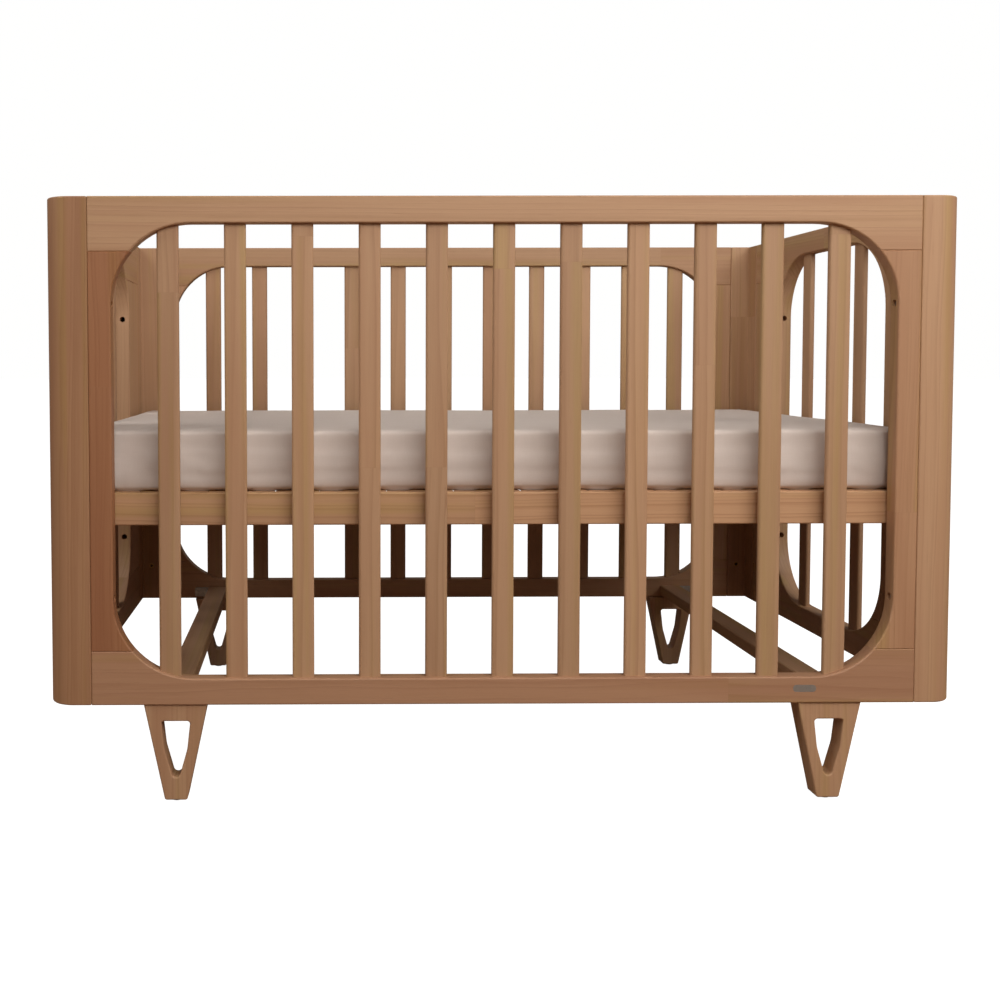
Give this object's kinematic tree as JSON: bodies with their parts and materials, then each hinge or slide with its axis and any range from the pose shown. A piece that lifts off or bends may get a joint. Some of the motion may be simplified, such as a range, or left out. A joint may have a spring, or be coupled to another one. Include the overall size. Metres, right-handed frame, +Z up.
{
  "type": "baby crib",
  "caption": "Slatted timber baby crib with rounded corner posts, curved panel openings, pierced tapered legs, an adjustable slatted base and a sheeted mattress.",
  "frame": {"origin": "on the floor, under the middle of the crib's outline", "axes": "+Z up, +X along the crib from its left end to its right end, +Y from the front side panel to the rear one"},
  "size_m": [1.376, 0.77, 0.914],
  "materials": {
    "frame_pine": "clear matt lacquer on light pine",
    "slat_pine": "clear matt lacquer on light pine",
    "base_rail_pine": "clear matt lacquer on light pine",
    "base_slat_pine": "planed, unfinished",
    "dowel_beech": "fluted, unfinished",
    "fitted_sheet": "fine plain-weave fitted sheet",
    "bolt_steel": "zinc plated",
    "bracket_steel": "zinc plated sheet",
    "insert_brass": "turned",
    "glide_nylon": "moulded",
    "plate_metal": "satin, blank"
  },
  "bodies": {
    "frame": {"bracket_screws": "bolt_steel", "cross_bar_brackets": "bracket_steel", "dowels": "dowel_beech", "end_panel_bolts": "bolt_steel", "floor_glides": "glide_nylon", "front_bottom_rail": "frame_pine", "front_left_leg": "frame_pine", "front_left_post": "frame_pine", "front_left_stile": "frame_pine", "front_right_leg": "frame_pine", "front_right_post": "frame_pine", "front_right_stile": "frame_pine", "front_slat_01": "slat_pine", "front_slat_02": "slat_pine", "front_slat_03": "slat_pine", "front_slat_04": "slat_pine", "front_slat_05": "slat_pine", "front_slat_06": "slat_pine", "front_slat_07": "slat_pine", "front_slat_08": "slat_pine", "front_slat_09": "slat_pine", "front_slat_10": "slat_pine", "front_slat_11": "slat_pine", "front_top_rail": "frame_pine", "left_cross_bar": "frame_pine", "left_end_bottom_rail": "frame_pine", "left_end_front_stile": "frame_pine", "left_end_rear_stile": "frame_pine", "left_end_slats": "slat_pine", "left_end_top_rail": "frame_pine", "leg_bolts": "bolt_steel", "leg_insert_nuts": "insert_brass", "name_plate": "plate_metal", "post_insert_nuts": "insert_brass", "rear_bottom_rail": "frame_pine", "rear_left_leg": "frame_pine", "rear_left_post": "frame_pine", "rear_left_stile": "frame_pine", "rear_right_leg": "frame_pine", "rear_right_post": "frame_pine", "rear_right_stile": "frame_pine", "rear_slats": "slat_pine", "rear_top_rail": "frame_pine", "right_cross_bar": "frame_pine", "right_end_bottom_rail": "frame_pine", "right_end_front_stile": "frame_pine", "right_end_rear_stile": "frame_pine", "right_end_slats": "slat_pine", "right_end_top_rail": "frame_pine", "side_panel_bolts": "bolt_steel"},
    "base": {"base_bolts": "bolt_steel", "base_frame_screws": "bolt_steel", "base_front_rail": "base_rail_pine", "base_left_rail": "base_rail_pine", "base_rear_rail": "base_rail_pine", "base_right_rail": "base_rail_pine", "base_slat_screws": "bolt_steel", "base_slats": "base_slat_pine"},
    "mattress": {"mattress": "fitted_sheet"}
  },
  "joints": [
    {"name": "base_height", "type": "slide", "parent": "frame", "child": "base", "axis": [0, 0, 1], "range_m": [-0.222, 0]},
    {"name": "mattress_lift", "type": "slide", "parent": "base", "child": "mattress", "axis": [0, 0, 1], "range_m": [0, 0.46]}
  ]
}
